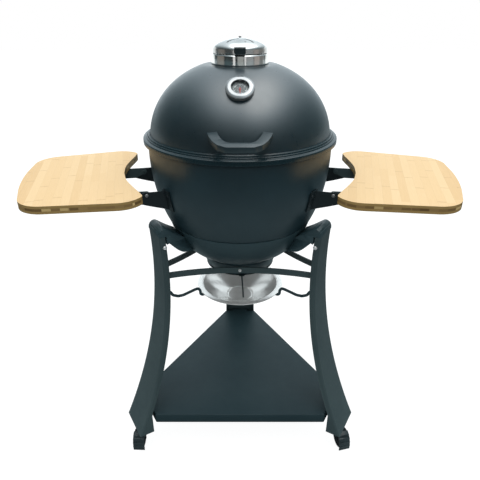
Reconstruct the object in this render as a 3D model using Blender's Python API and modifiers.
"""Kamado ceramic grill on a three-legged rolling stand, with two fold-down side shelves.

Metres, +Z up, -Y is the front, -X the left. The origin is on the floor, under the middle of
the grill's footprint. The whole grill is proportioned from the fire bowl's diameter, so
lengths are shares of R, the radius of the lid band, unless a comment says metres. They are
measured from AXIS: the bowl's vertical axis, at the height of the lid band's lower edge.
"""

import math

import bmesh
import bpy
from mathutils import Matrix, Vector

# ------------------------------------------------------------------ driving sizes
R = 0.265                    # outer radius of the lid band, metres
FLANGE_Z = 3.70 * R          # height of the lid band's lower edge, metres
AXIS_Y = -0.06234            # the bowl's vertical axis, measured from the origin, metres

DOME_A, DOME_H, DOME_N = 0.9316, 0.785, 2.10        # lid: superellipse radius, height, power
BOWL_A, BOWL_H, BOWL_C = 0.955, 1.34, -0.10         # bowl: ellipse radius, depth, centre height
CERAMIC = 0.080                                     # wall of lid and bowl

LEG_ANGLES = {"left": 210.0, "right": 330.0, "rear": 90.0}
FOOT_Z = -3.38                                      # underside of the leg's foot
CASTER_AT = 1.42                                    # caster stem, from bowl axis
HINGE_Y, HINGE_Z = 1.075, 0.030                     # lid hinge axis

HARD_EDGE = math.radians(35)                        # edges sharper than this stay crisp
WELD = 0.00002                                      # vertices closer than this merge, metres


# ------------------------------------------------------------------ scene and materials
for old in list(bpy.data.objects):
    bpy.data.objects.remove(old, do_unlink=True)


def new_collection(name):
    coll = bpy.data.collections.new(name)
    bpy.context.scene.collection.children.link(coll)
    return coll


PARTS = new_collection("kamado_grill")
CUTTERS = new_collection("cutters")


def material(name, rgb, roughness, metallic=0.0):
    mat = bpy.data.materials.new(name)
    mat.use_nodes = True
    shader = mat.node_tree.nodes["Principled BSDF"]
    shader.inputs["Base Color"].default_value = (*rgb, 1.0)
    shader.inputs["Roughness"].default_value = roughness
    shader.inputs["Metallic"].default_value = metallic
    mat.diffuse_color = (*rgb, 1.0)
    return mat


SHELL = material("satin_shell", rgb=(0.045, 0.068, 0.075), roughness=0.34)
STEEL_DARK = material("dark_coated_steel", rgb=(0.040, 0.058, 0.064), roughness=0.45, metallic=0.2)
BLACK = material("black_steel", rgb=(0.015, 0.017, 0.018), roughness=0.5, metallic=0.3)
CHROME = material("chrome", rgb=(0.80, 0.80, 0.80), roughness=0.12, metallic=1.0)
STAINLESS = material("stainless", rgb=(0.62, 0.62, 0.60), roughness=0.25, metallic=1.0)
CERAMIC_RAW = material("fired_ceramic", rgb=(0.55, 0.42, 0.32), roughness=0.85)
IRON = material("cast_iron", rgb=(0.03, 0.03, 0.03), roughness=0.65, metallic=0.4)
FELT = material("gasket_felt", rgb=(0.03, 0.03, 0.03), roughness=0.95)
BAMBOO = material("bamboo", rgb=(0.78, 0.60, 0.36), roughness=0.45)
PLASTIC = material("black_plastic", rgb=(0.02, 0.02, 0.022), roughness=0.45)
RUBBER = material("wheel_rubber", rgb=(0.03, 0.03, 0.035), roughness=0.7)
DIAL = material("dial_face", rgb=(0.45, 0.46, 0.46), roughness=0.5)
RED = material("needle_red", rgb=(0.55, 0.03, 0.02), roughness=0.4)
GLASS = material("gauge_glass", rgb=(0.85, 0.88, 0.88), roughness=0.05)


# ------------------------------------------------------------------ frames
AXIS = Matrix.Translation((0.0, AXIS_Y, FLANGE_Z))
# sketch plane with x = rearwards (+Y), y = up (+Z), z = across (+X)
SIDE = Matrix(((0, 0, 1, 0), (1, 0, 0, 0), (0, 1, 0, 0), (0, 0, 0, 1)))
# sketch plane with x = the frame's x, y = up, z = the frame's -y
UPRIGHT = Matrix(((1, 0, 0, 0), (0, 0, -1, 0), (0, 1, 0, 0), (0, 0, 0, 1)))


def spin(degrees):
    return Matrix.Rotation(math.radians(degrees), 4, "Z")


def point(x, y, z):
    """Shares of R as a vector in metres."""
    return Vector((x * R, y * R, z * R))


def moved(x, y, z):
    return Matrix.Translation(point(x, y, z))


def raised(z, degrees=0.0):
    return AXIS @ moved(0, 0, z) @ spin(degrees)


# ------------------------------------------------------------------ shape helpers
# A shape made without a material is a cutter: a wire guide used only by booleans.
# `unit` is the length in metres of one unit of the sizes given.
def add(name, data, mat, matrix):
    ob = bpy.data.objects.new(name, data)
    ob.matrix_world = matrix
    if mat is None:
        CUTTERS.objects.link(ob)
        ob.hide_render = True
        ob.display_type = "WIRE"
    else:
        PARTS.objects.link(ob)
        data.materials.append(mat)
    return ob


def add_bmesh(name, bm, mat, matrix):
    mesh = bpy.data.meshes.new(name)
    bm.to_mesh(mesh)
    bm.free()
    return add(name, mesh, mat, matrix)


def evaluated_mesh(ob, fill_holes=False):
    """The object's evaluated shape as a welded mesh without materials."""
    bpy.context.view_layer.update()
    graph = bpy.context.evaluated_depsgraph_get()
    mesh = bpy.data.meshes.new_from_object(ob.evaluated_get(graph))
    bm = bmesh.new()
    bm.from_mesh(mesh)
    bmesh.ops.remove_doubles(bm, verts=bm.verts, dist=WELD)
    if fill_holes:
        bmesh.ops.holes_fill(bm, edges=[e for e in bm.edges if e.is_boundary], sides=0)
    bmesh.ops.recalc_face_normals(bm, faces=bm.faces)
    bm.to_mesh(mesh)
    bm.free()
    mesh.materials.clear()
    return mesh


def turned(name, profile, mat=None, matrix=AXIS, steps=32, degrees=360.0, unit=R):
    """A profile of (radius, height) turned about Z; closed unless it starts on the axis."""
    mesh = bpy.data.meshes.new(name)
    verts = [(r * unit, 0.0, z * unit) for r, z in profile]
    edges = [(i, i + 1) for i in range(len(verts) - 1)]
    if profile[0][0] > 0:
        edges.append((len(verts) - 1, 0))
    mesh.from_pydata(verts, edges, [])
    ob = add(name, mesh, mat, matrix)
    mod = ob.modifiers.new("Turn", "SCREW")
    mod.axis = "Z"
    mod.angle = math.radians(degrees)
    mod.steps = mod.render_steps = steps
    mod.use_merge_vertices = degrees >= 360.0
    mod.merge_threshold = WELD
    mod.use_smooth_shade = True
    return ob


def saddle(name, profile, degrees, steps, mat=None, matrix=AXIS):
    """A curved pad: part of a turned ring, closed at both ends."""
    ob = turned(name, profile, mat, matrix, steps, degrees)
    mesh = evaluated_mesh(ob, fill_holes=True)
    ob.modifiers.clear()
    ob.data = mesh
    if mat is not None:
        mesh.materials.append(mat)
    return ob


def add_spline(curve, points):
    spline = curve.splines.new("POLY")
    spline.points.add(len(points) - 1)
    for spline_point, co in zip(spline.points, points):
        spline_point.co = (*co, 1.0)
    return spline


def add_curve_mesh(name, curve, mat, matrix):
    """Add the welded mesh that a curve makes, and drop the curve."""
    curve_ob = bpy.data.objects.new(name, curve)
    curve_ob.matrix_world = matrix
    PARTS.objects.link(curve_ob)
    mesh = evaluated_mesh(curve_ob)
    matrix = curve_ob.matrix_world.copy()
    bpy.data.objects.remove(curve_ob, do_unlink=True)
    bpy.data.curves.remove(curve)
    return add(name, mesh, mat, matrix)


def flat(name, outline, thickness, mat=None, matrix=AXIS, holes=(), unit=R):
    """A flat outline in the matrix's XY plane, extruded evenly to both sides of it."""
    curve = bpy.data.curves.new(name, "CURVE")
    curve.dimensions = "2D"
    curve.fill_mode = "BOTH"
    curve.extrude = thickness * unit / 2
    for loop in (outline, *holes):
        spline = add_spline(curve, [(x * unit, y * unit, 0.0) for x, y in loop])
        spline.use_cyclic_u = True
    return add_curve_mesh(name, curve, mat, matrix)


def tube(name, points, radius, mat, matrix):
    """A round bar along a line of points."""
    curve = bpy.data.curves.new(name, "CURVE")
    curve.dimensions = "3D"
    curve.bevel_depth = radius * R
    curve.bevel_resolution = 1
    curve.use_fill_caps = True
    add_spline(curve, [(x * R, y * R, z * R) for x, y, z in points])
    return add_curve_mesh(name, curve, mat, matrix)


def box(name, low, high, mat=None, matrix=AXIS, unit=R):
    low = [c * unit for c in low]
    high = [c * unit for c in high]
    size = [h - l for l, h in zip(low, high)]
    mid = [(h + l) / 2 for l, h in zip(low, high)]
    place = Matrix.Translation(mid) @ Matrix.Diagonal((*size, 1.0))
    bm = bmesh.new()
    bmesh.ops.create_cube(bm, size=1.0)
    bmesh.ops.transform(bm, matrix=place, verts=bm.verts)
    return add_bmesh(name, bm, mat, matrix)


def rod(name, start, end, radius, mat=None, matrix=AXIS, sides=12, unit=R):
    """A straight cylinder between two points."""
    start = Vector([c * unit for c in start])
    end = Vector([c * unit for c in end])
    axis = end - start
    turn = axis.to_track_quat("Z", "Y").to_matrix().to_4x4()
    bm = bmesh.new()
    bmesh.ops.create_cone(bm, cap_ends=True, segments=sides, radius1=radius * unit,
                          radius2=radius * unit, depth=axis.length)
    bmesh.ops.transform(bm, matrix=Matrix.Translation((start + end) / 2) @ turn, verts=bm.verts)
    return add_bmesh(name, bm, mat, matrix)


def rod_y(name, spot, start, end, radius, mat=None, matrix=AXIS, sides=12, unit=R):
    """A cylinder along the frame's y, through the spot (x, z)."""
    x, z = spot
    return rod(name, (x, start, z), (x, end, z), radius, mat, matrix, sides, unit)


def loft(name, sections, mat, matrix):
    """A closed skin through matching rings of points."""
    bm = bmesh.new()
    rings = [[bm.verts.new(p) for p in ring] for ring in sections]
    count = len(rings[0])
    for upper, lower in zip(rings, rings[1:]):
        for i in range(count):
            j = (i + 1) % count
            bm.faces.new((upper[i], lower[i], lower[j], upper[j]))
    bm.faces.new(rings[0])
    bm.faces.new(list(reversed(rings[-1])))
    bmesh.ops.recalc_face_normals(bm, faces=bm.faces)
    return add_bmesh(name, bm, mat, matrix)


def boolean(ob, others, operation):
    for other in others:
        mod = ob.modifiers.new(operation.title(), "BOOLEAN")
        mod.object = other
        mod.operation = operation
        mod.solver = "EXACT"
    return ob


def cut(ob, *cutters):
    return boolean(ob, cutters, "DIFFERENCE")


def join(ob, *others):
    return boolean(ob, others, "UNION")


def bevelled(ob, width):
    """Chamfer the hard edges; the width is in metres."""
    mod = ob.modifiers.new("Edges", "BEVEL")
    mod.width = width
    mod.segments = 1
    mod.limit_method = "ANGLE"
    mod.angle_limit = HARD_EDGE
    return ob


def pivot(name, location, direction=(0, 0, 1)):
    """An empty on a joint's axis, its Z along the axis."""
    turn = Vector(direction).to_track_quat("Z", "Y").to_matrix().to_4x4()
    ob = bpy.data.objects.new(name, None)
    ob.empty_display_size = 0.03
    ob.matrix_world = Matrix.Translation(location) @ turn
    PARTS.objects.link(ob)
    return ob


def carry(parent, *children):
    """Parent the children without moving them."""
    bpy.context.view_layer.update()
    inverse = parent.matrix_world.inverted()
    for child in children:
        world = child.matrix_world.copy()
        child.parent = parent
        child.matrix_parent_inverse = inverse
        child.matrix_world = world


# ------------------------------------------------------------------ outlines and profiles
def arc(centre_x, centre_y, radius, start, end, count):
    """Points along an arc, angles in degrees."""
    turn = [math.radians(start + (end - start) * i / count) for i in range(count + 1)]
    return [(centre_x + radius * math.cos(a), centre_y + radius * math.sin(a)) for a in turn]


def sector(inner, outer, start, end, count):
    """Outline of a ring sector, angles in degrees."""
    return arc(0, 0, outer, start, end, count) + arc(0, 0, inner, end, start, count)


def window(name, i, inner, outer, half_angle, thickness, z):
    """Cutter for one of three windows spaced evenly round a disc."""
    outline = sector(inner, outer, -half_angle, half_angle, 4)
    return flat(f"{name}_{i}", outline, thickness, matrix=raised(z, 30 + 120 * i))


def bezier(p0, p1, p2, count):
    """Points along a quadratic curve."""
    return [tuple((1 - t) ** 2 * a + 2 * t * (1 - t) * b + t * t * c
                  for a, b, c in zip(p0, p1, p2))
            for t in (i / count for i in range(count + 1))]


def dome_r(z):
    return DOME_A * (1 - (z / DOME_H) ** DOME_N) ** (1 / DOME_N)


def dome_z(r):
    return DOME_H * (1 - (r / DOME_A) ** DOME_N) ** (1 / DOME_N)


def bowl_r(z):
    if z > BOWL_C:
        return BOWL_A
    return BOWL_A * math.sqrt(1 - ((BOWL_C - z) / BOWL_H) ** 2)


# outside of the cradle pan, (radius, height) from the rim down
PAN = bezier((0.785, -0.866), (0.714, -1.111), (0.530, -1.236), 5)


def pan_r(z):
    for (r0, z0), (r1, z1) in zip(PAN, PAN[1:]):
        if z1 <= z:
            return r0 + (r1 - r0) * (z - z0) / (z1 - z0)


def pad_profile(radius_at, heights, gap, thickness):
    """Section of a pad that follows a wall, standing off it by the gap."""
    out = [(radius_at(z) + gap + thickness, z) for z in heights]
    return out + [(radius_at(z) + gap, z) for z in reversed(heights)]


# ------------------------------------------------------------------ lid
VENT_HOLE_R = 0.2640         # hole in the top of the lid
LID_BASE = 0.0135            # height of the shell's lower edge


def make_lid_shell():
    shrink = 1 - CERAMIC / DOME_A
    lower = 1 - CERAMIC / DOME_H
    outer = [(VENT_HOLE_R, 0.7340)]      # the top is nearly flat round the hole
    outer += [(r, dome_z(r)) for r in (0.36, 0.50, 0.64)]
    outer += [(dome_r(z), z) for z in (0.45, 0.31, 0.17)]
    outer += [(DOME_A, LID_BASE)]
    inner = [(DOME_A - CERAMIC, LID_BASE)]
    inner += [(dome_r(z) * shrink, z * lower) for z in (0.24, 0.45, 0.60)]
    inner += [(0.45 * shrink, dome_z(0.45) * lower)]
    inner += [(VENT_HOLE_R, dome_z(VENT_HOLE_R) - CERAMIC)]
    return turned("lid_shell", outer + inner, SHELL)


def make_lid_band():
    profile = [
        (0.9345, 0.088), (0.948, 0.084), (0.957, 0.088), (0.966, 0.078), (0.978, 0.080),
        (0.986, 0.066), (0.996, 0.062), (1.000, 0.054), (1.000, 0.0), (0.987, 0.0),
        (0.987, 0.048), (0.9345, 0.060)]
    return turned("lid_band", profile, SHELL)


def make_lid_gasket():
    top, bottom = 0.0125, -0.0105
    outer, inner = 0.925, 0.868
    profile = [(outer, top), (outer, bottom), (inner, bottom), (inner, top)]
    return turned("lid_gasket", profile, FELT)


# ------------------------------------------------------------------ top vent
VENT_CAP_Z = 0.93            # height of the cap's pivot and slots


def make_vent_base():
    """Ring set in the lid."""
    profile = [(0.248, 0.834), (0.262, 0.827), (0.262, 0.690), (0.234, 0.690), (0.234, 0.834)]
    return turned("top_vent_base", profile, STAINLESS, steps=28)


def make_vent_plate():
    """Plate with three windows and a post."""
    profile = [
        (0.0, 0.982), (0.011, 0.980), (0.014, 0.973), (0.014, 0.846), (0.030, 0.840),
        (0.030, 0.812), (0.2325, 0.812), (0.2325, 0.800), (0.0, 0.800)]
    plate = turned("top_vent_plate", profile, IRON, steps=24)
    for i in range(3):
        cut(plate, window("vent_window", i, inner=0.07, outer=0.20, half_angle=32,
                          thickness=0.05, z=0.806))
    return plate


def make_vent_cap():
    """Slotted cap and its tab, which turn together on the plate's post."""
    profile = [
        (0.016, 0.973), (0.080, 0.968), (0.140, 0.955), (0.202, 0.929), (0.238, 0.903),
        (0.250, 0.878), (0.250, 0.838), (0.241, 0.838), (0.241, 0.874), (0.230, 0.895),
        (0.196, 0.918), (0.136, 0.942), (0.080, 0.954), (0.016, 0.959)]
    cap = turned("top_vent_cap", profile, STAINLESS, steps=28)
    for i, start in enumerate((205, 295)):
        cut(cap, flat(f"vent_slot_{i}", sector(0.150, 0.162, start, start + 40, 5), 0.10,
                      matrix=raised(VENT_CAP_Z)))
    half_width = 0.051
    tab = box("top_vent_tab", (-half_width, -0.286, 0.844), (half_width, -0.2512, 0.906), PLASTIC)
    bevelled(tab, 0.008 * R)
    vent_pivot = pivot("vent_cap_pivot", AXIS @ point(0, 0, VENT_CAP_Z))
    carry(vent_pivot, cap, tab)
    return vent_pivot


# ------------------------------------------------------------------ lid handle
HANDLE_SLOPE = math.atan(0.20)
HANDLE_HALF, HANDLE_THICK = 0.043, 0.054
HANDLE_BACK, HANDLE_TOP = 0.86, 0.275      # where the sloping plane starts, forward and up
# centre line of the right half, (across, forward), from the end to near the middle
HANDLE_LINE = [(0.243, 0.872), (0.228, 0.935), (0.196, 1.020), (0.160, 1.078), (0.105, 1.113)]


def offset_line(line, distance):
    """The line moved sideways by a distance, mitred at its corners."""
    out = []
    for i, here in enumerate(line):
        before, here = Vector(line[max(i - 1, 0)]), Vector(here)
        after = Vector(line[min(i + 1, len(line) - 1)])
        normals = []
        for a, b in ((before, here), (here, after)):
            if (b - a).length > 1e-9:
                run = (b - a).normalized()
                normals.append(Vector((run.y, -run.x)))
        mitre = sum(normals, Vector((0.0, 0.0))).normalized()
        out.append(tuple(here + mitre * distance / max(0.5, mitre.dot(normals[0]))))
    return out


def make_handle():
    """One flat bar bent to a U in a plane that drops gently to the front."""
    line = HANDLE_LINE + [(-x, y) for x, y in reversed(HANDLE_LINE)]
    outline = offset_line(line, HANDLE_HALF) + offset_line(line, -HANDLE_HALF)[::-1]
    frame = (AXIS @ moved(0, -HANDLE_BACK, HANDLE_TOP - HANDLE_THICK / 2)
             @ Matrix.Rotation(HANDLE_SLOPE, 4, "X") @ moved(0, HANDLE_BACK, 0))
    handle = flat("lid_handle", [(x, -y) for x, y in outline], HANDLE_THICK, SHELL, frame)
    # the bar's ends are cut to the dome
    heights = (0.76, 0.68, 0.55, 0.42, 0.34, 0.28, 0.22, 0.16, 0.08)
    clearance = [(0.0, DOME_H + 0.002)]
    clearance += [(dome_r(z) + 0.002, z + 0.001) for z in heights]
    clearance += [(0.0, heights[-1])]
    return cut(handle, turned("dome_clearance", clearance, steps=64))


# ------------------------------------------------------------------ thermometer
GAUGE_Z = 0.585
GAUGE_R = dome_r(GAUGE_Z)
GAUGE_DIR = Vector((0.0, -(GAUGE_R / DOME_A) ** (DOME_N - 1) / DOME_A,
                    (GAUGE_Z / DOME_H) ** (DOME_N - 1) / DOME_H)).normalized()
NEEDLE_Z = 0.026             # needle above the dome, along the gauge's axis


def gauge_frame():
    """Local Z is the dome's normal at the gauge, local Y points up the dome."""
    turn = GAUGE_DIR.to_track_quat("Z", "X").to_matrix().to_4x4()
    frame = AXIS @ moved(0, -GAUGE_R, GAUGE_Z) @ turn
    up = frame.inverted().to_3x3() @ Vector((0, 0, 1))
    return frame @ Matrix.Rotation(math.atan2(-up.x, up.y), 4, "Z")


GAUGE = gauge_frame()


def gauge_disc(name, radius, top, bottom, mat):
    profile = [(0.0, top), (radius, top), (radius, bottom), (0.0, bottom)]
    return turned(name, profile, mat, GAUGE, steps=24)


def make_thermometer(lid_shell):
    """Housing with its probe, bezel, dial, glass and needle."""
    housing = [
        (0.0, 0.0155), (0.104, 0.0155), (0.104, 0.048), (0.113, 0.048), (0.113, 0.003),
        (0.0145, 0.003), (0.0145, -0.240), (0.008, -0.262), (0.0, -0.262)]
    bezel = [
        (0.0790, 0.0545), (0.0850, 0.0640), (0.1130, 0.0600), (0.1230, 0.0500),
        (0.1240, 0.0150), (0.1148, 0.0150), (0.1148, 0.0495), (0.0790, 0.0495)]
    needle_half = [(0.006, 0.020), (0.009, 0.0), (0.005, -0.030), (0.002, -0.064)]
    needle_outline = [(-x, y) for x, y in needle_half] + needle_half[::-1]
    needle = flat("thermometer_needle", needle_outline, 0.004, RED, GAUGE @ moved(0, 0, NEEDLE_Z))
    cut(lid_shell, rod("probe_hole", (0, 0, -0.20), (0, 0, 0.10), 0.0175, matrix=GAUGE))
    needle_pivot = pivot("needle_pivot", GAUGE @ point(0, 0, NEEDLE_Z), GAUGE_DIR)
    carry(needle_pivot, needle)
    return [
        turned("thermometer_housing", housing, STAINLESS, GAUGE, steps=20),
        turned("thermometer_bezel", bezel, CHROME, GAUGE, steps=24),
        gauge_disc("thermometer_dial", 0.101, 0.0195, 0.0165, DIAL),
        gauge_disc("thermometer_glass", 0.100, 0.0470, 0.0420, GLASS),
        needle_pivot]


# ------------------------------------------------------------------ lid hinge
HINGE_EAR_R, HINGE_EAR_T = 0.036, 0.020
HINGE_PIN_R, HINGE_BORE_R, HINGE_HEAD_R = 0.0120, 0.0135, 0.021


def hinge_bracket(half, pad, degrees, ear, across, bore):
    """A saddle with two upright ears bored for the pin, centred at the rear."""
    bracket = saddle(f"hinge_{half}_bracket", pad, degrees, 4, STEEL_DARK,
                     AXIS @ spin(90 - degrees / 2))
    for i, x in enumerate((-across, across)):
        join(bracket, flat(f"{half}_ear_{i}", ear, HINGE_EAR_T, matrix=AXIS @ moved(x, 0, 0) @ SIDE))
    return cut(bracket, bore)


def make_hinge():
    """Both halves and the pin; the lid's half is returned."""
    def across(name, start, end, radius, mat=None):
        return rod(name, (start, HINGE_Y, HINGE_Z), (end, HINGE_Y, HINGE_Z), radius, mat, sides=16)

    bore = across("hinge_bore", -0.2, 0.2, HINGE_BORE_R)
    # ears as (rearwards, up)
    lid_ear = [(0.936, 0.112), (1.015, 0.106)]
    lid_ear += arc(HINGE_Y, HINGE_Z, HINGE_EAR_R, 180, 360, 6)
    lid_ear += [(1.100, 0.085), (1.040, 0.170), (0.915, 0.245), (0.907, 0.225)]
    lid_pad = pad_profile(dome_r, (0.250, 0.200, 0.150, 0.108), gap=0.0045, thickness=0.022)
    lid_half = hinge_bracket("lid", lid_pad, 18, lid_ear, 0.085, bore)

    bowl_ear = [(0.957, -0.205), (1.085, -0.070), (1.111, 0.020)]
    bowl_ear += arc(HINGE_Y, HINGE_Z, HINGE_EAR_R, 0, 180, 6)
    bowl_ear += [(1.034, -0.030), (0.972, -0.070), (0.960, -0.078)]
    bowl_pad = pad_profile(bowl_r, (-0.060, -0.120, -0.170, -0.215), gap=0.0012, thickness=0.020)
    hinge_bracket("bowl", bowl_pad, 19, bowl_ear, 0.118, bore)

    pin = across("hinge_pin", -0.148, 0.148, HINGE_PIN_R, CHROME)
    for i, side in enumerate((-1, 1)):
        join(pin, across(f"pin_head_{i}", side * 0.132, side * 0.158, HINGE_HEAD_R))
    return lid_half


# ------------------------------------------------------------------ bowl and fire parts
PAN_INSET = 0.030            # bowl wall inside the cradle pan's outside
BOWL_FLOOR = -1.218          # underside of the bowl
BOWL_HOLE_R = 0.300


def make_bowl_shell():
    outer = [(0.966, -0.012), (0.968, -0.026), (0.955, -0.034)]
    outer += [(bowl_r(z), z) for z in (-0.22, -0.40, -0.56, -0.70, -0.852)]
    outer += [(0.752, -0.856)]
    outer += [(pan_r(z) - PAN_INSET, z) for z in (-0.96, -1.07, -1.15)]
    outer += [(0.500, BOWL_FLOOR), (BOWL_HOLE_R, BOWL_FLOOR)]
    inner = [(BOWL_HOLE_R, BOWL_FLOOR + CERAMIC), (0.480, BOWL_FLOOR + CERAMIC)]
    inner += [(pan_r(-1.03) - PAN_INSET - CERAMIC, -1.03), (bowl_r(-0.80) - CERAMIC - 0.02, -0.80)]
    inner += [(bowl_r(z) - CERAMIC, z) for z in (-0.56, -0.34)]
    inner += [(0.874, -0.012)]
    turned("bowl_shell", outer + inner, SHELL)


def make_fire_bowl():
    profile = [
        (0.842, -0.140), (0.838, -0.320), (0.795, -0.520), (0.730, -0.700), (0.640, -0.850),
        (0.540, -1.000), (0.460, -1.135), (0.280, -1.135), (0.280, -1.080), (0.420, -1.060),
        (0.500, -0.930), (0.560, -0.905), (0.585, -0.860), (0.660, -0.700), (0.725, -0.520),
        (0.770, -0.320), (0.776, -0.185), (0.800, -0.175), (0.800, -0.140)]
    turned("fire_bowl", profile, CERAMIC_RAW, steps=24)


def grate(name, radius, sides, thickness, matrix, count, pitch, width):
    """A disc with parallel slots, each split by a rib across the middle."""
    rib_half, rim = 0.030, 0.06
    slots = []
    for i in range(count):
        y = (i - (count - 1) / 2) * pitch
        reach = math.sqrt(radius ** 2 - (abs(y) + width / 2) ** 2) - rim
        low, high = y - width / 2, y + width / 2
        for x0, x1 in ((-reach, -rib_half), (rib_half, reach)):
            slots.append([(x0, low), (x1, low), (x1, high), (x0, high)])
    disc = arc(0, 0, radius, 0, 360, sides)[:-1]
    flat(name, disc, thickness, IRON, matrix, holes=slots)


def make_grates():
    grate("cooking_grate", radius=0.788, sides=32, thickness=0.024, matrix=raised(-0.161),
          count=15, pitch=0.098, width=0.062)
    grate("charcoal_grate", radius=0.548, sides=28, thickness=0.030, matrix=raised(-0.887, 90),
          count=7, pitch=0.130, width=0.055)


# ------------------------------------------------------------------ cradle pan, collar, damper
PAN_WALL = 0.012
DAMPER_R, DAMPER_TOP, DAMPER_LOW = 0.392, -1.449, -1.457


def make_cradle_pan():
    profile = PAN + [(0.440, -1.246), (0.440, -1.246 + PAN_WALL)]
    for i in range(len(PAN) - 1, 0, -1):
        r, z = PAN[i]
        # the shallow bottom is offset mostly upwards, the steep side mostly inwards
        inwards, upwards = (0.55, 0.9) if i > 3 else (0.95, 0.25)
        profile.append((r - PAN_WALL * inwards, z + PAN_WALL * upwards))
    profile.append((PAN[0][0] - PAN_WALL, PAN[0][1]))
    turned("cradle_pan", profile, STEEL_DARK)


def make_ash_vent():
    """Collar under the pan, and the damper with its lever; both share three windows."""
    collar_profile = [
        (0.0, -1.436), (0.375, -1.436), (0.412, -1.322), (0.412, -1.2605), (0.405, -1.2485),
        (0.470, -1.2485), (0.470, -1.2585), (0.424, -1.2625), (0.424, -1.312),
        (0.433, -1.318), (0.430, -1.330), (0.388, -1.446), (0.0, -1.446)]
    damper_profile = [(0.0, DAMPER_TOP), (DAMPER_R, DAMPER_TOP), (DAMPER_R, DAMPER_LOW),
                      (0.0, DAMPER_LOW)]
    collar = turned("vent_collar", collar_profile, STAINLESS, steps=24)
    damper = turned("ash_damper", damper_profile, STAINLESS, steps=24)
    for i in range(3):
        opening = window("ash_window", i, inner=0.06, outer=0.33, half_angle=29,
                         thickness=0.06, z=-1.447)
        cut(collar, opening)
        cut(damper, opening)
    join(damper,
         box("lever_tab", (-0.012, -0.415, DAMPER_LOW), (0.052, -0.370, DAMPER_TOP)),
         rod("lever_rod", (0.020, -0.402, -1.4560), (0.038, -0.404, -1.742), 0.0095, sides=8))
    carry(pivot("damper_pivot", AXIS @ point(0, 0, -1.453)), damper)


# ------------------------------------------------------------------ stand
LEG_WALL, LEG_CHAMFER, LEG_DEPTH = 0.014, 0.016, 0.063
LEG_INNER_MAX = 1.333        # the leg's open side goes no further out than this
LEG_STATIONS = [-0.872, -1.10, -1.35, -1.60, -1.85, -2.10, -2.35, -2.60, -2.85, -3.07, -3.14,
                FOOT_Z]      # heights of the leg's sections
SOLE_T = 0.016
STEM_HOLE_R = 0.0066         # metres
HEAD_HALF = 0.148
HEAD_BOLT = (0.982, -0.988)  # outwards, up
BOLT_HOLE_R, BOLT_R, BOLT_CAP_R = 0.0140, 0.0120, 0.0220


def leg_outer(z):
    return 1.02 + 0.108 * (-z - 1.25) ** 2


def leg_inner(z):
    return min(leg_outer(z) - LEG_DEPTH, LEG_INNER_MAX)


def leg_half(z):
    return 0.155 + 0.031 * (-z - 1.0)


def leg_section(z):
    """Channel with its back outwards and its open side towards the bowl's axis."""
    back, front, half = leg_outer(z), leg_inner(z), leg_half(z)
    wall, chamfer = LEG_WALL, LEG_CHAMFER
    ring = [(back - chamfer, -half), (back, -half + chamfer), (back, half - chamfer),
            (back - chamfer, half), (front, half), (front, half - wall),
            (back - wall, half - wall), (back - wall, -half + wall), (front, -half + wall),
            (front, -half)]
    return [(x * R, y * R, z * R) for x, y in ring]


def make_leg(side, frame, bolt_hole):
    leg = loft(f"leg_{side}", [leg_section(z) for z in LEG_STATIONS], STEEL_DARK, frame)
    sole_top = FOOT_Z + SOLE_T
    half, lip_half = leg_half(FOOT_Z) - 0.006, 0.18
    sole = box(f"sole_{side}", (LEG_INNER_MAX, -half, FOOT_Z),
               (leg_outer(FOOT_Z) - 0.030, half, sole_top), matrix=frame)
    # the sole stays just inside the curved wall, so a lip joins them
    lip = box(f"sole_lip_{side}", (leg_outer(FOOT_Z) - 0.045, -lip_half, FOOT_Z),
              (leg_outer(sole_top) - 0.006, lip_half, sole_top), matrix=frame)
    stem_hole = rod(f"stem_hole_{side}", (CASTER_AT, 0, FOOT_Z - 0.05),
                    (CASTER_AT, 0, FOOT_Z + 0.05), STEM_HOLE_R / R, matrix=frame, sides=16)
    cut(join(leg, sole, lip), stem_hole, bolt_hole)


def make_leg_head(side, frame, pan_clearance, bolt_hole):
    """Block between leg and pan, with a tongue inside the leg."""
    profile = [              # (outwards, up)
        (1.035, -0.869), (1.032, -0.834), (1.012, -0.801), (0.967, -0.785), (0.930, -0.806),
        (0.880, -0.843), (0.820, -0.884), (0.700, -0.955), (0.660, -1.118), (0.721, -1.099),
        (0.775, -1.092), (0.830, -1.057), (0.883, -1.004), (0.928, -0.953), (0.954, -0.962),
        (0.954, -0.869)]
    head = flat(f"leg_head_{side}", profile, 2 * HEAD_HALF, STEEL_DARK, frame @ UPRIGHT)
    tongue = box(f"tongue_{side}", (0.9635, -0.125, -1.080), (1.003, 0.125, -0.860), matrix=frame)
    cut(join(head, tongue), pan_clearance, bolt_hole)


def make_head_bolt(side, frame):
    bolt = rod_y(f"head_bolt_{side}", HEAD_BOLT, -0.160, 0.160, BOLT_R, CHROME, frame)
    seat = leg_half(HEAD_BOLT[1]) + 0.0015
    for end, s in (("a", -1), ("b", 1)):
        join(bolt, rod_y(f"head_bolt_cap_{side}_{end}", HEAD_BOLT, s * seat, s * (seat + 0.018),
                         BOLT_CAP_R, matrix=frame))


def make_dish_hanger(side, frame):
    line = [                 # (outwards, up), from the leg to the dish
        (1.016, -1.600), (0.935, -1.612), (0.900, -1.648), (0.878, -1.690), (0.815, -1.724),
        (0.750, -1.730), (0.600, -1.703), (0.558, -1.702), (0.536, -1.740), (0.5345, -1.784),
        (0.514, -1.8025), (0.478, -1.8025)]
    tube(f"dish_hanger_{side}", [(x, 0, z) for x, z in line], 0.0170, STEEL_DARK, frame)


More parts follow.
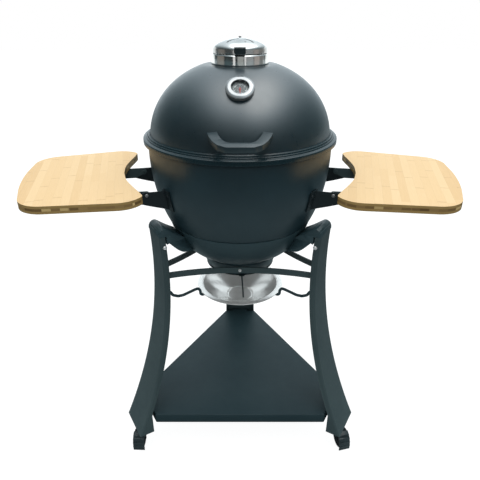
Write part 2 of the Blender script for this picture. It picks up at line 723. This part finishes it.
def make_legs():
    clearance = [(0.0, -0.80), (PAN[0][0] + 0.0030, -0.80)]
    clearance += [(r + 0.0035, z) for r, z in PAN] + [(0.0, -1.236)]
    pan_clearance = turned("pan_clearance", clearance, steps=36)
    for side, angle in LEG_ANGLES.items():
        frame = AXIS @ spin(angle)
        bolt_hole = rod_y(f"head_bolt_hole_{side}", HEAD_BOLT, -0.25, 0.25, BOLT_HOLE_R,
                          matrix=frame)
        make_leg(side, frame, bolt_hole)
        make_leg_head(side, frame, pan_clearance, bolt_hole)
        make_head_bolt(side, frame)
        make_dish_hanger(side, frame)


BRACE_TURNS = {"front": 0.0, "left": -120.0, "right": 120.0}
BRACE_Z, BRACE_HALF_H, BRACE_T = -1.351, 0.035, 0.016
BRACE_END, BRACE_MID_Y = (0.800, -0.5795), -0.455


def brace_strip():
    """Plan of one brace bar: an arc from leg to leg, bowed towards the bowl's axis."""
    end_x, end_y = BRACE_END
    sag = BRACE_MID_Y - end_y
    radius = (end_x ** 2 + sag ** 2) / (2 * sag)
    reach = math.degrees(math.asin(end_x / radius))
    near, far = [arc(0.0, BRACE_MID_Y - radius, r, 90 + reach, 90 - reach, 8)
                 for r in (radius + BRACE_T / 2, radius - BRACE_T / 2)]
    return near + far[::-1]


def make_braces():
    """Three bars, each with a bolt at its middle."""
    spot = (0, BRACE_Z)
    for place, turn in BRACE_TURNS.items():
        frame = AXIS @ spin(turn)
        brace = flat(f"brace_{place}", brace_strip(), 2 * BRACE_HALF_H, STEEL_DARK,
                     frame @ moved(0, 0, BRACE_Z))
        cut(brace, rod_y(f"brace_hole_{place}", spot, -0.50, -0.42, 0.0135, matrix=frame))
        bolt = rod_y(f"brace_bolt_{place}", spot, -0.470, -0.4315, 0.0118, CHROME, frame)
        join(bolt, rod_y(f"brace_bolt_cap_{place}", spot, -0.484, -0.4650, 0.0210, matrix=frame))


def make_ash_dish():
    """Rim, cone and well."""
    profile = [
        (0.0, -1.958), (0.158, -1.958), (0.1645, -1.946), (0.452, -1.7745), (0.508, -1.7700),
        (0.5124, -1.7725), (0.5124, -1.7780), (0.505, -1.7775), (0.455, -1.7820),
        (0.170, -1.9520), (0.163, -1.9645), (0.0, -1.9645)]
    turned("ash_dish", profile, STAINLESS, steps=28)


SHELF_TOP, SHELF_LIP, SHELF_T = -3.126, 0.122, 0.010
CORNER, CORNER_HALF = 1.294, 0.2254     # cut corners: distance out, half width


def shelf_outline(inset=0.0):
    reach = CORNER - inset
    half = CORNER_HALF - inset * math.tan(math.radians(30))
    points = []
    for degrees in (90, 210, 330):
        a = math.radians(degrees)
        out = Vector((math.cos(a), math.sin(a)))
        along = Vector((-math.sin(a), math.cos(a)))
        points += [tuple(out * reach - along * half), tuple(out * reach + along * half)]
    return points


def make_lower_shelf():
    """A triangle with cut corners, folded down at its edges, with a tab to each leg."""
    middle = SHELF_TOP - SHELF_LIP / 2
    shelf = flat("lower_shelf", shelf_outline(), SHELF_LIP, STEEL_DARK, raised(middle))
    cut(shelf, flat("shelf_hollow", shelf_outline(SHELF_T), SHELF_LIP,
                    matrix=raised(middle - SHELF_T)))
    for side, angle in LEG_ANGLES.items():
        join(shelf, box(f"shelf_tab_{side}", (CORNER - 0.03, -0.11, SHELF_TOP - SHELF_T),
                        (leg_inner(-3.12) - 0.0045, 0.11, SHELF_TOP - 0.0005),
                        matrix=AXIS @ spin(angle)))


# ------------------------------------------------------------------ side shelves
# Each shelf's frame has x outwards along the shelf, y sideways, z up.
SHELF_ANGLE = 12.75          # side shelves point this far forward of straight sideways
SHELF_PIVOT = (1.025, -0.417)            # outwards, up
BOARD_TOP, BOARD_T = -0.300, 0.075
BOARD_CHAMFER = 0.0016       # metres
ARM_Y, ARM_T, ARM_EYE_R = 0.372, 0.012, 0.036
BRACKET_Y, BRACKET_T = 0.392, 0.012
BRACKET_TOP, BRACKET_LOW = -0.386, -0.585
FOOT_DEGREES, FOOT_LAP = 7, 1.6          # width of a bracket's foot, part inside the plate


def fillet(corner, before, after, radius, count):
    """Points of a round corner between two straight runs."""
    corner, before, after = Vector(corner), Vector(before), Vector(after)
    back, ahead = (before - corner).normalized(), (after - corner).normalized()
    half = math.acos(back.dot(ahead)) / 2
    centre = corner + (back + ahead).normalized() * radius / math.sin(half)
    start = corner + back * radius / math.tan(half) - centre
    end = corner + ahead * radius / math.tan(half) - centre
    start_angle = math.atan2(start.y, start.x)
    sweep = math.remainder(math.atan2(end.y, end.x) - start_angle, math.tau)
    return arc(centre.x, centre.y, radius, math.degrees(start_angle),
               math.degrees(start_angle + sweep), count)


def board_outline():
    """(outwards, sideways), from the middle of the notch round the bowl and back to it."""
    half = arc(0, 0, 1.2250, 0, 20, 2) + [(1.104, 0.560)]
    corners = [half[-1], (1.062, 0.700), (1.180, 0.838), (2.145, 0.735), (2.190, 0.330)]
    rounding = [(0.07, 3), (0.24, 3), (0.260, 5)]        # (radius, segments)
    for before, corner, after, (radius, count) in zip(corners, corners[1:], corners[2:], rounding):
        half += fillet(corner, before, after, radius, count)
    half += [(2.200, 0.280), (2.214, 0.0)]
    return half + [(x, -y) for x, y in reversed(half[1:-1])]


def upright(frame, y):
    return frame @ moved(0, y, 0) @ UPRIGHT


def make_board(side, frame):
    board = flat(f"side_board_{side}", board_outline(), BOARD_T, BAMBOO,
                 frame @ moved(0, 0, BOARD_TOP - BOARD_T / 2))
    return bevelled(board, BOARD_CHAMFER)


def make_shelf_frame(side, frame):
    """Steel frame under the board: two arms, two cross rails, pivot pins."""
    arm = [(1.900, -0.3785), (1.900, -0.398), (1.450, -0.436), (1.250, -0.486), (1.120, -0.488)]
    arm += arc(*SHELF_PIVOT, ARM_EYE_R, -75, -270, 6) + [(1.110, -0.3785)]
    steel = flat(f"shelf_frame_{side}", arm, ARM_T, STEEL_DARK, upright(frame, ARM_Y))
    join(steel, flat(f"far_arm_{side}", arm, ARM_T, matrix=upright(frame, -ARM_Y)))
    rail_end = ARM_Y + 0.003
    for i, x in enumerate((1.300, 1.800)):
        join(steel, box(f"rail_{side}_{i}", (x, -rail_end, -0.3950),
                        (x + 0.09, rail_end, -0.3790), matrix=frame))
    for end, s in (("a", -1), ("b", 1)):
        join(steel, rod_y(f"pivot_pin_{side}_{end}", SHELF_PIVOT, s * (ARM_Y - 0.016),
                          s * (BRACKET_Y + 0.016), 0.0130, matrix=frame))
    return steel


def make_bracket(name, frame, s):
    """Fixed bracket: an upright plate and a foot shaped to the bowl; s is its side in y."""
    plate = [(1.112, BRACKET_TOP)]
    plate += [(math.sqrt((bowl_r(z) + 0.009) ** 2 - BRACKET_Y ** 2), z)
              for z in (BRACKET_TOP, -0.48, BRACKET_LOW)]
    plate += [(1.128, -0.492)]
    bracket = flat(f"shelf_bracket_{name}", plate, BRACKET_T, BLACK, upright(frame, s * BRACKET_Y))
    plate_angle = math.degrees(math.asin(BRACKET_Y / 0.93))
    start = plate_angle - FOOT_LAP if s > 0 else -plate_angle + FOOT_LAP - FOOT_DEGREES
    pad = pad_profile(bowl_r, (-0.372, -0.44, -0.52, -0.592), gap=0.0040, thickness=0.011)
    foot = saddle(f"foot_{name}", pad, FOOT_DEGREES, 2, matrix=frame @ spin(start))
    pin_hole = rod_y(f"pin_hole_{name}", SHELF_PIVOT, s * (BRACKET_Y - 0.05),
                     s * (BRACKET_Y + 0.05), 0.0145, matrix=frame)
    cut(join(bracket, foot), pin_hole)


def make_side_shelves():
    # rear_y is the way the frame's y runs to reach the rear
    for side, heading, rear_y in (("left", 180.0 + SHELF_ANGLE, -1), ("right", -SHELF_ANGLE, 1)):
        frame = AXIS @ spin(heading)
        board = make_board(side, frame)
        steel = make_shelf_frame(side, frame)
        make_bracket(f"{side}_rear", frame, rear_y)
        make_bracket(f"{side}_front", frame, -rear_y)
        x, z = SHELF_PIVOT
        shelf_pivot = pivot(f"{side}_shelf_pivot", frame @ point(x, 0, z),
                            frame.to_3x3() @ Vector((0, 1, 0)))
        carry(shelf_pivot, board, steel)


# ------------------------------------------------------------------ casters, all in metres
# A caster's frame stands on the floor under its stem, with x the trailing direction.
CASTER_HEADING = {"left": -92.0, "right": -76.0, "rear": 84.0}
CASTER_TOP = FLANGE_Z + FOOT_Z * R
WHEEL_R, WHEEL_HALF, TRAIL = 0.030, 0.0105, 0.018
AXLE = (TRAIL, WHEEL_R)                  # x, z
CHEEK_IN, CHEEK_OUT = 0.0117, 0.0140     # inside and outside of the fork's cheeks
FORK_ROOM_TOP = 0.0640                   # top of the wheel's space in the fork
EAR_IN, EAR_OUT = 0.0144, 0.0162         # inside and outside of the brake pedal's ears
PEDAL_PIN = (0.0205, 0.0668)             # x, z


def make_fork(side, frame):
    cheek = [                # (x, z)
        (-0.0160, 0.0735), (-0.0150, 0.0640), (TRAIL - 0.009, WHEEL_R - 0.004),
        (TRAIL - 0.003, WHEEL_R - 0.0085), (TRAIL + 0.003, WHEEL_R - 0.0085),
        (TRAIL + 0.008, WHEEL_R - 0.004), (TRAIL + 0.007, 0.0600), (TRAIL + 0.004, 0.0735)]
    fork = flat(f"caster_fork_{side}", cheek, 2 * CHEEK_OUT, BLACK, frame @ UPRIGHT, unit=1.0)
    # the wheel's space between the cheeks
    cut(fork, box(f"wheel_room_{side}", (-0.05, -CHEEK_IN, -0.01),
                  (0.08, CHEEK_IN, FORK_ROOM_TOP), matrix=frame, unit=1.0))
    return join(
        fork,
        rod(f"swivel_housing_{side}", (0, 0, 0.0720), (0, 0, CASTER_TOP - 0.0008), 0.0205,
            matrix=frame, sides=16, unit=1.0),
        rod_y(f"axle_{side}", AXLE, -0.0165, 0.0165, 0.0040, matrix=frame, unit=1.0),
        rod_y(f"pedal_pin_{side}", PEDAL_PIN, -0.0172, 0.0172, 0.0020, matrix=frame, sides=8,
              unit=1.0),
        rod(f"stem_{side}", (0, 0, CASTER_TOP - 0.004), (0, 0, CASTER_TOP + 0.020), 0.0060,
            matrix=frame, unit=1.0))


def make_wheel(side, frame):
    half_profile = [(0.0048, WHEEL_HALF), (0.0260, WHEEL_HALF), (0.0292, 0.0080), (WHEEL_R, 0.0045)]
    profile = half_profile + [(r, -z) for r, z in reversed(half_profile)]
    place = Matrix.Translation((TRAIL, 0, WHEEL_R)) @ Matrix.Rotation(math.radians(-90), 4, "X")
    return turned(f"caster_wheel_{side}", profile, RUBBER, frame @ place, steps=20, unit=1.0)


def make_pedal(side, frame):
    """Brake pedal: a curved guard over the wheel's trailing side, with two ears on a pin."""
    guard = [                # (x, z)
        (0.0290, 0.0715), (0.0370, 0.0685), (0.0465, 0.0605), (0.0525, 0.0490),
        (0.0555, 0.0350), (0.0560, 0.0170), (0.0535, 0.0170), (0.0530, 0.0350),
        (0.0500, 0.0470), (0.0450, 0.0580), (0.0370, 0.0650), (0.0290, 0.0680)]
    ear = [
        (0.0300, 0.0712), (0.0190, 0.0708), (0.0165, 0.0690), (0.0165, 0.0645),
        (0.0190, 0.0625), (0.0230, 0.0625), (0.0335, 0.0668)]
    pedal = flat(f"brake_pedal_{side}", guard, 2 * EAR_OUT, PLASTIC, frame @ UPRIGHT, unit=1.0)
    for end, s in (("a", -1), ("b", 1)):
        place = Matrix.Translation((0, s * (EAR_OUT + EAR_IN) / 2, 0))
        join(pedal, flat(f"pedal_ear_{side}_{end}", ear, EAR_OUT - EAR_IN,
                         matrix=frame @ place @ UPRIGHT, unit=1.0))
    return cut(pedal, rod_y(f"pedal_hole_{side}", PEDAL_PIN, -0.03, 0.03, 0.0025,
                            matrix=frame, unit=1.0))


def make_caster(side, angle):
    stem = AXIS @ spin(angle) @ point(CASTER_AT, 0, 0)
    frame = Matrix.Translation((stem.x, stem.y, 0.0)) @ spin(CASTER_HEADING[side])

    def cross_pivot(name, spot, direction):
        x, z = spot
        return pivot(f"{side}_{name}", frame @ Vector((x, 0, z)),
                     frame.to_3x3() @ Vector((0, direction, 0)))

    fork = make_fork(side, frame)
    wheel = make_wheel(side, frame)
    pedal = make_pedal(side, frame)
    swivel = pivot(f"{side}_caster_swivel", (stem.x, stem.y, CASTER_TOP))
    wheel_axle = cross_pivot("wheel_axle", AXLE, 1)
    pedal_pin = cross_pivot("pedal_pin", PEDAL_PIN, -1)
    carry(wheel_axle, wheel)
    carry(pedal_pin, pedal)
    carry(swivel, fork, wheel_axle, pedal_pin)


# ------------------------------------------------------------------ assembly
def make_lid():
    """Everything that swings on the lid's hinge."""
    lid_shell = make_lid_shell()
    parts = [lid_shell, make_lid_band(), make_lid_gasket(), make_vent_base(), make_vent_plate(),
             make_vent_cap(), make_handle(), *make_thermometer(lid_shell), make_hinge()]
    carry(pivot("lid_pivot", AXIS @ point(0, HINGE_Y, HINGE_Z), (-1, 0, 0)), *parts)


def smooth_parts():
    """Smooth shading with crisp hard edges; turned parts are shaded by their modifier."""
    for ob in PARTS.objects:
        if ob.type == "MESH" and not any(m.type == "SCREW" for m in ob.modifiers):
            ob.data.shade_smooth()
            ob.data.set_sharp_from_angle(angle=HARD_EDGE)


make_lid()
make_bowl_shell()
make_fire_bowl()
make_grates()
make_cradle_pan()
make_ash_vent()
make_legs()
make_braces()
make_ash_dish()
make_lower_shelf()
make_side_shelves()
for leg_side, leg_angle in LEG_ANGLES.items():
    make_caster(leg_side, leg_angle)
smooth_parts()
